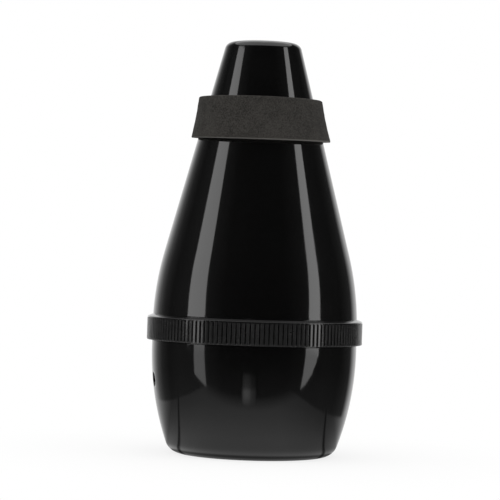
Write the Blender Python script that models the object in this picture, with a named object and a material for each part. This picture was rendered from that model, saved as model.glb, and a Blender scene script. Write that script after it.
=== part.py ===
"""A practice mute for a trumpet: a moulded cone and cup joined by a knurled union ring."""

import math

import bmesh
import bpy
from mathutils import Matrix, Vector

# Overall form, in metres, with the mute standing on its cup
BODY_HEIGHT = 0.152
MOUTH_RADIUS = 0.0136  # where the cone's side would meet the mouth's plane
WAIST_RADIUS = 0.0378  # of the cone above the ring and of the cup below it
CONE_SWEEP_RADIUS = 0.110  # the long arc that turns the cone's side into the waist
CUP_SWEEP_RADIUS = 0.1035  # the long arc of the cup's side
BASE_EDGE_RADIUS = 0.006
WALL = 0.002  # of the cone and the cup

# Mouth
MOUTH_BORE_RADIUS = 0.009
MOUTH_EDGE_RADIUS = 0.003
MOUTH_LIP_THICKNESS = 0.002
MOUTH_BORE_EDGE = 0.0005  # the bevel round the mouth's bore

# Union ring between the two halves
RING_BASE_HEIGHT = 0.0416
RING_HEIGHT = 0.0092
RING_WALL = 0.00255  # from the thread out to the ribs
RING_BEVEL_WIDTH = 0.0017  # of the slope from the ribs up towards the cone
RING_BEVEL_HEIGHT = 0.00105
RING_CHAMFER = 0.0003  # round the lower edge
RIB_COUNT = 148
RIB_GAP_DEPTH = 0.00055
RIB_GAP_WIDTH = 0.0007
RIB_GAP_MARGIN = 0.0003  # plain band between a gap's end and the ring's edge
THREAD_STEP = 0.0009  # how far the cone's spigot lies inside the waist
HOOK_REACH = 0.0007  # how far the ring's hook reaches under the cup's flange
HOOK_HEIGHT = 0.0013

# The halves' rims inside the ring
CUP_RIM_BAND = 0.0024  # the upright band of the cup just under the ring
FLANGE_HEIGHT = 0.0012
NECK_WALL = 0.0018
SPIGOT_WALL = 0.002
RIM_TAPER_HEIGHT = 0.003  # over which each half's wall steps in to its rim
GASKET_THICKNESS = 0.0008

# Vent in the cup's side
VENT_RADIUS = 0.0025
VENT_HEIGHT = 0.027
VENT_BEARING = math.radians(191.5)  # about the axis, from +X

# Foam ring on the neck
NECK_FOAM_DROP = 0.02075  # from the mouth down to the foam's upper edge
NECK_FOAM_HEIGHT = 0.0151
NECK_FOAM_TOP_THICKNESS = 0.0037
NECK_FOAM_BASE_THICKNESS = 0.0027
NECK_FOAM_HOLLOW = 0.00025  # how far its side curves in between its edges
NECK_FOAM_TILT = math.radians(0.3)  # it was pushed on a little askew

# Air tube
TUBE_RADIUS = 0.0066
TUBE_WALL = 0.0014
TUBE_FLANGE_THICKNESS = 0.0015
FUNNEL_DEPTH = 0.009
TUBE_TAIL = 0.011  # below the baffle plate's underside

# Baffle plate
BAFFLE_DROP = 0.064  # from the mouth down to the plate's upper face
BAFFLE_THICKNESS = 0.002
COLLAR_WALL = 0.0018
COLLAR_HEIGHT = 0.005
BAFFLE_HOLE_RADIUS = 0.0032
BAFFLE_HOLE_COUNT = 8
BAFFLE_HOLE_INSET = 0.009  # from the plate's edge in to the holes' centres

# Damping foam
FRONT_FOAM_HEIGHT = 0.034
REAR_FOAM_HEIGHT = 0.010

# Clearance between pieces that seat on each other
GAP = 0.0003

# Facets
SHELL_STEPS = 64
TUBE_STEPS = 24
HOLE_STEPS = 16
RING_STEPS = RIB_COUNT // 2
SWEEP_STEPS = 6
CORNER_TURN = math.radians(18)

# Heights in the joint, from the ring's hook up to the cone's shoulder
HOOK_TOP = RING_BASE_HEIGHT + HOOK_HEIGHT
FLANGE_BASE = HOOK_TOP + GAP
FLANGE_TOP = FLANGE_BASE + FLANGE_HEIGHT
GASKET_BASE = FLANGE_TOP + GAP
SPIGOT_BASE = GASKET_BASE + GASKET_THICKNESS + GAP
RING_TOP = RING_BASE_HEIGHT + RING_HEIGHT
SHOULDER_HEIGHT = RING_TOP + GAP
CUP_RIM_HEIGHT = RING_BASE_HEIGHT - GAP
CUP_SWEEP_TOP = CUP_RIM_HEIGHT - CUP_RIM_BAND
WAIST_HEIGHT = RING_BASE_HEIGHT + RING_HEIGHT / 2

# Radii in the joint, from the thread in to the neck's bore
SPIGOT_RADIUS = WAIST_RADIUS - THREAD_STEP
SPIGOT_BORE_RADIUS = SPIGOT_RADIUS - SPIGOT_WALL
RING_BORE_RADIUS = SPIGOT_RADIUS + GAP
RING_RADIUS = RING_BORE_RADIUS + RING_WALL
HOOK_RADIUS = SPIGOT_RADIUS - HOOK_REACH
CUP_NECK_RADIUS = HOOK_RADIUS - GAP
CUP_NECK_BORE_RADIUS = CUP_NECK_RADIUS - NECK_WALL

# Heights of what hangs in the cone
TUBE_TOP = BODY_HEIGHT - MOUTH_LIP_THICKNESS - GAP
BAFFLE_TOP = BODY_HEIGHT - BAFFLE_DROP
BAFFLE_BASE = BAFFLE_TOP - BAFFLE_THICKNESS


# The shells' sides
def cone_taper_angle():
    """The slope at which a line from the mouth's edge touches the cone's long arc."""
    across = MOUTH_RADIUS - (WAIST_RADIUS - CONE_SWEEP_RADIUS)
    up = BODY_HEIGHT - WAIST_HEIGHT
    return math.atan2(up, across) - math.acos(CONE_SWEEP_RADIUS / math.hypot(across, up))


CONE_TAPER = cone_taper_angle()


def cone_tangent_height(inset=0.0):
    """Where the cone's straight side passes into its long arc, moved in by a wall."""
    return WAIST_HEIGHT + (CONE_SWEEP_RADIUS - inset) * math.sin(CONE_TAPER)


def cone_radius(height, inset=0.0):
    """Radius of the cone's side at a height, moved in by a wall."""
    if height > cone_tangent_height(inset):
        fall = BODY_HEIGHT - height
        return MOUTH_RADIUS + fall * math.tan(CONE_TAPER) - inset / math.cos(CONE_TAPER)
    reach = math.sqrt((CONE_SWEEP_RADIUS - inset) ** 2 - (height - WAIST_HEIGHT) ** 2)
    return WAIST_RADIUS - CONE_SWEEP_RADIUS + reach


def cup_radius(height, inset=0.0):
    """Radius of the cup's side at a height, moved in by a wall."""
    rise = min(height, CUP_SWEEP_TOP) - CUP_SWEEP_TOP
    reach = math.sqrt((CUP_SWEEP_RADIUS - inset) ** 2 - rise**2)
    return WAIST_RADIUS - CUP_SWEEP_RADIUS + reach


def side(radius_at, high, low, steps, inset=0.0):
    """Points (radius, height) down a side; upward where low is the higher one."""
    heights = [high + (low - high) * i / steps for i in range(steps + 1)]
    return [(radius_at(height, inset), height) for height in heights]


def arc(centre, radius, start, end):
    """Points (radius, height) along a small corner, both ends included."""
    steps = max(2, math.ceil(abs(end - start) / CORNER_TURN))
    angles = [start + (end - start) * i / steps for i in range(steps + 1)]
    return [(centre[0] + radius * math.cos(a), centre[1] + radius * math.sin(a)) for a in angles]


# The corner between the cup's side and its flat base
BASE_CORNER_RISE = BASE_EDGE_RADIUS - CUP_SWEEP_TOP
BASE_CORNER_REACH = math.sqrt((CUP_SWEEP_RADIUS - BASE_EDGE_RADIUS) ** 2 - BASE_CORNER_RISE**2)
BASE_CORNER = (WAIST_RADIUS - CUP_SWEEP_RADIUS + BASE_CORNER_REACH, BASE_EDGE_RADIUS)
BASE_CORNER_START = math.atan2(BASE_CORNER_RISE, BASE_CORNER_REACH)


# Mesh tools
def add_object(name, bm, material, height=0.0):
    """Makes an object of bm, whose shape is drawn from the mute's base, with its origin at height."""
    bmesh.ops.translate(bm, verts=bm.verts[:], vec=(0, 0, -height))
    bmesh.ops.recalc_face_normals(bm, faces=bm.faces[:])
    mesh = bpy.data.meshes.new(name)
    bm.to_mesh(mesh)
    bm.free()
    mesh.materials.append(material)
    mesh.shade_smooth()
    mesh.set_sharp_from_angle(angle=math.radians(30))
    piece = bpy.data.objects.new(name, mesh)
    bpy.context.collection.objects.link(piece)
    piece.location = (0, 0, height)
    return piece


def turn_outline(outline, steps):
    """Spins an outline of (radius, height) round the mute's axis into a closed body."""
    bm = bmesh.new()
    corners = [bm.verts.new((radius, 0, height)) for radius, height in outline]
    edges = [bm.edges.new(pair) for pair in zip(corners, corners[1:])]
    if outline[0][0] > 0:  # a ring's outline closes on itself, and a disc's starts and ends on the axis
        edges.append(bm.edges.new((corners[-1], corners[0])))
    bmesh.ops.spin(
        bm,
        geom=corners + edges,
        cent=(0, 0, 0),
        axis=(0, 0, 1),
        angle=math.tau,
        steps=steps,
        use_merge=True,
    )
    bmesh.ops.remove_doubles(bm, verts=bm.verts[:], dist=1e-7)
    return bm


def add_cutter(name, bm, target):
    """Cuts the shapes in bm, drawn from the mute's base, out of the target."""
    tool = add_object(name, bm, target.data.materials[0])
    tool.hide_render = True
    tool.display_type = "WIRE"
    cut = target.modifiers.new(name, "BOOLEAN")
    cut.operation = "DIFFERENCE"
    cut.solver = "EXACT"
    cut.object = tool


def add_rod(bm, radius, length, placed):
    """Adds a round rod along its own Z axis, centred, then placed by a matrix."""
    bmesh.ops.create_cone(
        bm,
        cap_ends=True,
        segments=HOLE_STEPS,
        radius1=radius,
        radius2=radius,
        depth=length,
        matrix=placed,
    )


def finish(name, colour, roughness):
    """A plain dielectric surface."""
    material = bpy.data.materials.new(name)
    material.use_nodes = True
    shader = material.node_tree.nodes["Principled BSDF"]
    shader.inputs["Base Color"].default_value = (*colour, 1)
    shader.inputs["Roughness"].default_value = roughness
    shader.inputs["Metallic"].default_value = 0
    return material


# Pieces
def front_cone(material):
    corner_height = BODY_HEIGHT - MOUTH_EDGE_RADIUS
    corner_radius = cone_radius(corner_height, MOUTH_EDGE_RADIUS)
    rim = arc((corner_radius, corner_height), MOUTH_EDGE_RADIUS, math.pi / 2, CONE_TAPER)
    taper_top = SHOULDER_HEIGHT + RIM_TAPER_HEIGHT
    lip_base = BODY_HEIGHT - MOUTH_LIP_THICKNESS
    outline = [
        (MOUTH_BORE_RADIUS, BODY_HEIGHT - MOUTH_BORE_EDGE),
        (MOUTH_BORE_RADIUS + MOUTH_BORE_EDGE, BODY_HEIGHT),
        *rim,
        *side(cone_radius, cone_tangent_height(), SHOULDER_HEIGHT, SWEEP_STEPS),
        (SPIGOT_RADIUS, SHOULDER_HEIGHT),
        (SPIGOT_RADIUS, SPIGOT_BASE),
        (SPIGOT_BORE_RADIUS, SPIGOT_BASE),
        (SPIGOT_BORE_RADIUS, SHOULDER_HEIGHT),
        *side(cone_radius, taper_top, cone_tangent_height(WALL), SWEEP_STEPS, WALL),
        (cone_radius(lip_base, WALL), lip_base),
        (MOUTH_BORE_RADIUS, lip_base),
    ]
    return add_object("front_cone", turn_outline(outline, SHELL_STEPS), material, SPIGOT_BASE)


def rear_cup(material):
    taper_base = CUP_RIM_HEIGHT - NECK_WALL - RIM_TAPER_HEIGHT
    neck_base = CUP_RIM_HEIGHT - NECK_WALL
    outer_corner = arc(BASE_CORNER, BASE_EDGE_RADIUS, BASE_CORNER_START, -math.pi / 2)
    inner_corner = arc(BASE_CORNER, BASE_EDGE_RADIUS - WALL, -math.pi / 2, BASE_CORNER_START)
    outline = [
        (0, 0),
        *reversed(outer_corner),
        *side(cup_radius, outer_corner[0][1], CUP_SWEEP_TOP, SWEEP_STEPS)[1:],
        (WAIST_RADIUS, CUP_RIM_HEIGHT),
        (CUP_NECK_RADIUS, CUP_RIM_HEIGHT),
        (CUP_NECK_RADIUS, FLANGE_BASE),
        (SPIGOT_RADIUS, FLANGE_BASE),
        (SPIGOT_RADIUS, FLANGE_TOP),
        (CUP_NECK_BORE_RADIUS, FLANGE_TOP),
        (CUP_NECK_BORE_RADIUS, neck_base),
        *side(cup_radius, taper_base, inner_corner[-1][1], SWEEP_STEPS, WALL)[:-1],
        *reversed(inner_corner),
        (0, WALL),
    ]
    cup = add_object("rear_cup", turn_outline(outline, SHELL_STEPS), material)

    vent = bmesh.new()
    across = Matrix.Rotation(VENT_BEARING, 4, "Z") @ Matrix.Translation((WAIST_RADIUS, 0, VENT_HEIGHT))
    add_rod(vent, VENT_RADIUS, 6 * WALL, across @ Matrix.Rotation(math.pi / 2, 4, "Y"))
    add_cutter("vent_cutter", vent, cup)
    return cup


def knurled_ring(material):
    outline = [
        (RING_BORE_RADIUS, RING_TOP),
        (RING_RADIUS - RING_BEVEL_WIDTH, RING_TOP),
        (RING_RADIUS, RING_TOP - RING_BEVEL_HEIGHT),
        (RING_RADIUS, RING_BASE_HEIGHT + RING_CHAMFER),
        (RING_RADIUS - RING_CHAMFER, RING_BASE_HEIGHT),
        (HOOK_RADIUS, RING_BASE_HEIGHT),
        (HOOK_RADIUS, HOOK_TOP),
        (RING_BORE_RADIUS, HOOK_TOP),
    ]
    ring = add_object("knurled_ring", turn_outline(outline, RING_STEPS), material, RING_BASE_HEIGHT)
    add_cutter("rib_gap_cutter", rib_gaps(), ring)
    return ring


def rib_gaps():
    """A wedge for each gap between two ribs, its edge towards the axis."""
    low = RING_BASE_HEIGHT + RING_CHAMFER + RIB_GAP_MARGIN
    high = RING_TOP - RING_BEVEL_HEIGHT - RIB_GAP_MARGIN
    spread = RIB_GAP_WIDTH / 2 / RIB_GAP_DEPTH  # half width for each unit of depth
    edge = RING_RADIUS - RIB_GAP_DEPTH
    back = RING_RADIUS + RIB_GAP_DEPTH
    wedge = [(edge, 0), (back, (back - edge) * spread), (back, (edge - back) * spread)]
    bm = bmesh.new()
    for i in range(RIB_COUNT):
        turn = Matrix.Rotation(math.tau * (i + 0.5) / RIB_COUNT, 4, "Z")
        foot = [bm.verts.new(turn @ Vector((x, y, low))) for x, y in wedge]
        face = bm.faces.new(foot)
        grown = bmesh.ops.extrude_face_region(bm, geom=[face], use_keep_orig=True)
        head = [item for item in grown["geom"] if isinstance(item, bmesh.types.BMVert)]
        bmesh.ops.translate(bm, verts=head, vec=(0, 0, high - low))
    return bm


def seal_gasket(material):
    outer = SPIGOT_RADIUS - GAP
    outline = [
        (outer, GASKET_BASE + GASKET_THICKNESS),
        (outer, GASKET_BASE),
        (SPIGOT_BORE_RADIUS, GASKET_BASE),
        (SPIGOT_BORE_RADIUS, GASKET_BASE + GASKET_THICKNESS),
    ]
    return add_object("seal_gasket", turn_outline(outline, SHELL_STEPS), material, GASKET_BASE)


def neck_foam_ring(material):
    top = BODY_HEIGHT - NECK_FOAM_DROP
    base = top - NECK_FOAM_HEIGHT
    steps = 4
    outline = []
    for i in range(steps + 1):
        share = i / steps
        height = top - NECK_FOAM_HEIGHT * share
        thickness = NECK_FOAM_TOP_THICKNESS * (1 - share) + NECK_FOAM_BASE_THICKNESS * share
        hollow = NECK_FOAM_HOLLOW * math.sin(math.pi * share)
        outline.append((cone_radius(height) + thickness - hollow, height))
    outline.append((cone_radius(base) + GAP, base))
    outline.append((cone_radius(top) + GAP, top))
    ring = turn_outline(outline, SHELL_STEPS)
    foam = add_object("neck_foam_ring", ring, material, (top + base) / 2)
    foam.rotation_euler = (0, NECK_FOAM_TILT, 0)
    return foam


def air_tube(material):
    bore = TUBE_RADIUS - TUBE_WALL
    flange_radius = cone_radius(TUBE_TOP, WALL) - GAP
    flange_base = TUBE_TOP - TUBE_FLANGE_THICKNESS
    funnel_base = TUBE_TOP - FUNNEL_DEPTH
    tail = BAFFLE_BASE - TUBE_TAIL

    def funnel(radius, high):
        """A bell mouth: flat at the flange and upright where it meets the tube."""
        turns = [math.pi / 2 * i / 5 for i in range(6)]
        wide, deep = MOUTH_BORE_RADIUS - radius, high - funnel_base
        return [(radius + wide * (1 - math.sin(t)), high - deep * (1 - math.cos(t))) for t in turns]

    outline = [
        (flange_radius, TUBE_TOP),
        (flange_radius, flange_base),
        *funnel(TUBE_RADIUS, flange_base),
        (TUBE_RADIUS, tail),
        (bore, tail),
        *reversed(funnel(bore, TUBE_TOP)),
    ]
    return add_object("air_tube", turn_outline(outline, TUBE_STEPS), material, TUBE_TOP)


def baffle_plate(material):
    hole = TUBE_RADIUS + GAP
    collar = hole + COLLAR_WALL
    edge_top = cone_radius(BAFFLE_TOP, WALL) - GAP
    edge_base = cone_radius(BAFFLE_BASE, WALL) - GAP
    outline = [
        (hole, BAFFLE_TOP),
        (edge_top, BAFFLE_TOP),
        (edge_base, BAFFLE_BASE),
        (collar, BAFFLE_BASE),
        (collar, BAFFLE_BASE - COLLAR_HEIGHT),
        (hole, BAFFLE_BASE - COLLAR_HEIGHT),
    ]
    plate = add_object("baffle_plate", turn_outline(outline, SHELL_STEPS), material, BAFFLE_TOP)

    holes = bmesh.new()
    for i in range(BAFFLE_HOLE_COUNT):
        turn = Matrix.Rotation(math.tau * (i + 0.5) / BAFFLE_HOLE_COUNT, 4, "Z")
        place = turn @ Matrix.Translation((edge_top - BAFFLE_HOLE_INSET, 0, BAFFLE_TOP))
        add_rod(holes, BAFFLE_HOLE_RADIUS, 4 * BAFFLE_THICKNESS, place)
    add_cutter("baffle_hole_cutter", holes, plate)
    return plate


def front_damping_foam(material):
    base = BAFFLE_TOP + GAP
    top = base + FRONT_FOAM_HEIGHT
    hole = TUBE_RADIUS + GAP
    outline = [
        (hole, top),
        (cone_radius(top, WALL) - GAP, top),
        (cone_radius(base, WALL) - GAP, base),
        (hole, base),
    ]
    return add_object("front_damping_foam", turn_outline(outline, TUBE_STEPS), material, base)


def rear_damping_foam(material):
    base = WALL + GAP
    top = base + REAR_FOAM_HEIGHT
    outline = [
        (0, top),
        (cup_radius(top, WALL) - GAP, top),
        (cup_radius(BASE_EDGE_RADIUS, WALL) - GAP, BASE_EDGE_RADIUS),
        (BASE_CORNER[0], base),
        (0, base),
    ]
    return add_object("rear_damping_foam", turn_outline(outline, TUBE_STEPS), material, base)


def build():
    for old in list(bpy.data.objects):
        bpy.data.objects.remove(old, do_unlink=True)

    shell = finish("moulded black plastic", (0.0030, 0.0030, 0.0032), 0.08)
    ribbed = finish("moulded black ring plastic", (0.0060, 0.0060, 0.0063), 0.22)
    inner = finish("plain black plastic", (0.010, 0.010, 0.010), 0.45)
    dense_foam = finish("closed-cell foam", (0.032, 0.031, 0.028), 0.95)
    open_foam = finish("open-cell foam", (0.045, 0.045, 0.048), 1.0)
    rubber = finish("black rubber", (0.012, 0.012, 0.012), 0.6)

    rear_cup(shell)
    seal_gasket(rubber)
    rear_damping_foam(open_foam)
    knurled_ring(ribbed)

    front = bpy.data.objects.new("front_half", None)
    bpy.context.collection.objects.link(front)
    front.location = (0, 0, SPIGOT_BASE)
    for piece in (
        front_cone(shell),
        neck_foam_ring(dense_foam),
        air_tube(inner),
        baffle_plate(inner),
        front_damping_foam(open_foam),
    ):
        piece.parent = front
        piece.location.z -= SPIGOT_BASE


build()
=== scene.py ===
import math

import bmesh
import bpy
from mathutils import Euler, Matrix, Vector, noise


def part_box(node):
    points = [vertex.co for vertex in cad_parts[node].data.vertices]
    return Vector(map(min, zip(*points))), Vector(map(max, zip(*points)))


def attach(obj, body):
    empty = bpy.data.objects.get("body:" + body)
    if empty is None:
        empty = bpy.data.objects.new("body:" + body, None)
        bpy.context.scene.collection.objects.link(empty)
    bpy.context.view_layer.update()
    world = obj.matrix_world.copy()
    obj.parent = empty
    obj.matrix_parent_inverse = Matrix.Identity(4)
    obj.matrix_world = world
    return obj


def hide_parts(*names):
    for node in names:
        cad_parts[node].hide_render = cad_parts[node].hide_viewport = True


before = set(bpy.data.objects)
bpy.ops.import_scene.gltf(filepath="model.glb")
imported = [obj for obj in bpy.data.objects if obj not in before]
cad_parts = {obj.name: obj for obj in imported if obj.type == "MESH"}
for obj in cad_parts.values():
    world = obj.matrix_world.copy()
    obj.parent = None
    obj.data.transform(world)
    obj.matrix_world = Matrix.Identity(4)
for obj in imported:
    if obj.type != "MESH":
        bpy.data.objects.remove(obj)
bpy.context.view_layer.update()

mm = 0.001

# Heights and radii that the pieces share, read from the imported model
boxes = {node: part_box(node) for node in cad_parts}
low = {node: corners[0][2] for node, corners in boxes.items()}
high = {node: corners[1][2] for node, corners in boxes.items()}
bodyHeight = high["front_cone"]
waistRadius = boxes["rear_cup"][1][0]
ringRadius = boxes["knurled_ring"][1][0]
ringBase = low["knurled_ring"]
ringTop = high["knurled_ring"]
spigotBase = low["front_cone"]
flangeTop = high["rear_cup"]
shellWall = 2 * mm
seatGap = 0.3 * mm
shellEdge = 0.15 * mm  # the shells' corners beside the ring are softened over this length
edgeCut = 0.04 * mm  # and cut back by this much in the middle

# The union's thread: single start, right-handed, meshed at every turn of the ring
thread = {
    "lead": 2.1 * mm,
    "depth": 0.5 * mm,
    "crest": waistRadius - 0.9 * mm,
    "clearance": 0.12 * mm,
    "runOut": 0.35,  # share of the lead over which it fades at its ends
}
spigotRadius = thread["crest"]
spigotRoot = spigotRadius - thread["depth"]

# The shells' sides: a straight taper into a long upright arc, and the cup's long arc
sides = {
    "mouthRadius": 13.6 * mm,
    "coneSweep": 110 * mm,
    "cupSweep": 103.5 * mm,
    "rimBand": 2.4 * mm,
    "baseEdge": 6 * mm,
}
waistHeight = (ringBase + ringTop) / 2
cupRim = ringBase - seatGap
cupSweepTop = cupRim - sides["rimBand"]
sweepAcross = sides["mouthRadius"] - (waistRadius - sides["coneSweep"])
sweepUp = bodyHeight - waistHeight
sweepShare = sides["coneSweep"] / math.hypot(sweepAcross, sweepUp)
coneTaper = math.atan2(sweepUp, sweepAcross) - math.acos(sweepShare)


# An inset is how far a wall's inner side lies behind its outer side
def coneTangent(inset=0.0):
    return waistHeight + (sides["coneSweep"] - inset) * math.sin(coneTaper)


def coneRadius(height, inset=0.0):
    if height > coneTangent(inset):
        fall = bodyHeight - height
        return sides["mouthRadius"] + fall * math.tan(coneTaper) - inset / math.cos(coneTaper)
    reach = math.sqrt((sides["coneSweep"] - inset) ** 2 - (height - waistHeight) ** 2)
    return waistRadius - sides["coneSweep"] + reach


def cupRadius(height, inset=0.0):
    rise = min(height, cupSweepTop) - cupSweepTop
    reach = math.sqrt((sides["cupSweep"] - inset) ** 2 - rise**2)
    return waistRadius - sides["cupSweep"] + reach


def spread(start, end, steps):
    return [start + (end - start) * i / steps for i in range(steps + 1)]


# Outlines are lists of (radius, height), drawn down the outer side
def sidePoints(radiusAt, start, end, steps, inset=0.0):
    return [(radiusAt(height, inset), height) for height in spread(start, end, steps)]


def arcPoints(centre, radius, start, end, steps):
    turns = spread(start, end, steps)
    return [(centre[0] + radius * math.cos(turn), centre[1] + radius * math.sin(turn)) for turn in turns]


def rounded(corners, fillet, steps=4):
    # each corner becomes an arc that runs smoothly into both sides
    points = []
    for i, corner in enumerate(corners):
        here = Vector(corner)
        before = (Vector(corners[i - 1]) - here).normalized()
        after = (Vector(corners[(i + 1) % len(corners)]) - here).normalized()
        half = before.angle(after) / 2
        reach = fillet / math.tan(half)
        centre = here + (before + after).normalized() * fillet / math.sin(half)
        first, last = here + before * reach - centre, here + after * reach - centre
        for k in range(steps + 1):
            spoke = first.slerp(last, k / steps).normalized() * fillet
            points.append((centre.x + spoke.x, centre.y + spoke.y))
    return points


def evenAngles(steps):
    return [math.tau * i / steps for i in range(steps)]


def turnedMesh(outline, angles, place=None):
    # a closed outline gives a ring, and one that starts and ends on the axis gives a disc
    bm = bmesh.new()
    columns = []
    for angle in angles:
        column = []
        for k, (radius, height) in enumerate(outline):
            if place:
                radius, height = place(k, angle, radius, height)
            column.append(bm.verts.new((radius * math.cos(angle), radius * math.sin(angle), height)))
        columns.append(column)
    rows = len(outline)
    isRing = outline[0][0] > 0
    for i, column in enumerate(columns):
        following = columns[(i + 1) % len(columns)]
        for k in range(rows if isRing else rows - 1):
            n = (k + 1) % rows
            bm.faces.new((column[k], column[n], following[n], following[k]))
    return bm, columns


def addPiece(name, bm, material, body, node, sharp=40):
    bmesh.ops.remove_doubles(bm, verts=bm.verts[:], dist=1e-7)
    bmesh.ops.dissolve_degenerate(bm, dist=1e-8, edges=bm.edges[:])
    bmesh.ops.recalc_face_normals(bm, faces=bm.faces[:])
    mesh = bpy.data.meshes.new(name)
    bm.to_mesh(mesh)
    bm.free()
    mesh.shade_smooth()
    mesh.set_sharp_from_angle(angle=math.radians(sharp))
    mesh.materials.append(material)
    piece = bpy.data.objects.new(name, mesh)
    bpy.context.collection.objects.link(piece)
    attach(piece, body)
    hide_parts(node)
    return piece


# Material tools
def hexToLinear(code):
    channels = [int(code[i : i + 2], 16) / 255 for i in (1, 3, 5)]
    return tuple(c / 12.92 if c <= 0.04045 else ((c + 0.055) / 1.055) ** 2.4 for c in channels) + (1,)


def addNode(tree, kind, inputs=None, **settings):
    node = tree.nodes.new(kind)
    for name, value in settings.items():
        setattr(node, name, value)
    for name, value in (inputs or {}).items():
        if isinstance(value, bpy.types.NodeSocket):
            tree.links.new(value, node.inputs[name])
        else:
            node.inputs[name].default_value = value
    return node


def newMaterial(name):
    material = bpy.data.materials.new(name)
    material.use_nodes = True
    tree = material.node_tree
    tree.nodes.clear()
    return material, tree


def rampStops(node, stops):
    # a stop is (position, colour), and a plain number in place of the colour is a grey
    ramp = node.color_ramp
    while len(ramp.elements) < len(stops):
        ramp.elements.new(0.5)
    for element, (position, colour) in zip(ramp.elements, stops):
        element.position = position
        element.color = colour if isinstance(colour, tuple) else (colour, colour, colour, 1)


# What all moulded surfaces share: a haze from handling that changes tone and gloss, and a shallow ripple
moulding = {
    "hazeDetail": 6,
    "hazeRoughness": 0.62,
    "hazeFrom": 0.35,
    "toneTo": 0.75,
    "glossTo": 0.8,
    "rippleDetail": 2,
    "rippleDepth": 0.02 * mm,
}


def makeMoulded(name, look):
    material, tree = newMaterial(name)
    place = addNode(tree, "ShaderNodeTexCoord").outputs["Object"]
    haze = addNode(tree, "ShaderNodeTexNoise", {
        "Vector": place,
        "Scale": 1 / look["smudge"],
        "Detail": moulding["hazeDetail"],
        "Roughness": moulding["hazeRoughness"],
    }).outputs["Fac"]
    tone = addNode(tree, "ShaderNodeValToRGB", {"Fac": haze})
    rampStops(tone, [
        (moulding["hazeFrom"], hexToLinear(look["dark"])),
        (moulding["toneTo"], hexToLinear(look["light"])),
    ])
    colour = tone.outputs["Color"]
    # input 0 of a colour mix is its share, and 6 and 7 are its colours
    if "paintedGapShade" in look:
        # painted shade: the gaps between the ribs, which lie nearer the axis, are darkened towards this dark
        # tone, and the rib tops keep the ring's own colour
        flat = addNode(tree, "ShaderNodeVectorMath", {0: place, 1: (1, 1, 0)}, operation="MULTIPLY")
        reach = addNode(tree, "ShaderNodeVectorMath", {0: flat.outputs["Vector"]}, operation="LENGTH")
        gapShadeMask = addNode(tree, "ShaderNodeMapRange", {
            "Value": reach.outputs["Value"],
            "From Min": look["gapEnd"],
            "From Max": look["ribStart"],
        })
        colour = addNode(tree, "ShaderNodeMix", {
            0: gapShadeMask.outputs["Result"],
            6: hexToLinear(look["paintedGapShade"]),
            7: colour,
        }, data_type="RGBA").outputs[2]
    if "rimPaintedShade" in look:
        # painted shade: the sloped rim above the ribs is darkened towards its own dark tone
        at = addNode(tree, "ShaderNodeSeparateXYZ", {"Vector": place})
        rim = addNode(tree, "ShaderNodeMapRange", {
            "Value": at.outputs["Z"],
            "From Min": look["rimFoot"],
            "From Max": look["rimStart"],
        })
        colour = addNode(tree, "ShaderNodeMix", {
            0: rim.outputs["Result"],
            6: colour,
            7: hexToLinear(look["rimPaintedShade"]),
        }, data_type="RGBA").outputs[2]
    gloss = addNode(tree, "ShaderNodeMapRange", {
        "Value": haze,
        "From Min": moulding["hazeFrom"],
        "From Max": moulding["glossTo"],
        "To Min": look["roughness"],
        "To Max": look["dullest"],
    })
    ripple = addNode(tree, "ShaderNodeTexNoise", {
        "Vector": place,
        "Scale": 1 / look["ripple"],
        "Detail": moulding["rippleDetail"],
    })
    relief = addNode(tree, "ShaderNodeBump", {
        "Strength": look["rippleStrength"],
        "Distance": moulding["rippleDepth"],
        "Height": ripple.outputs["Fac"],
    })
    shader = addNode(tree, "ShaderNodeBsdfPrincipled", {
        "Base Color": colour,
        "Roughness": gloss.outputs["Result"],
        "Normal": relief.outputs["Normal"],
        "IOR": look["ior"],
        "Metallic": 0,
    })
    addNode(tree, "ShaderNodeOutputMaterial", {"Surface": shader.outputs["BSDF"]})
    return material


# What both foams share: how much pits, grain and patches count in the tone, and the pits' depth
foamPattern = {
    "pitWeight": 0.55,
    "grainWeight": 0.5,
    "patchWeight": 0.35,
    "grainDetail": 5,
    "grainRoughness": 0.7,
    "patchDetail": 3,
    "toneFrom": 0.35,
    "toneTo": 0.85,
    "pitDepth": 0.12 * mm,
}


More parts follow.
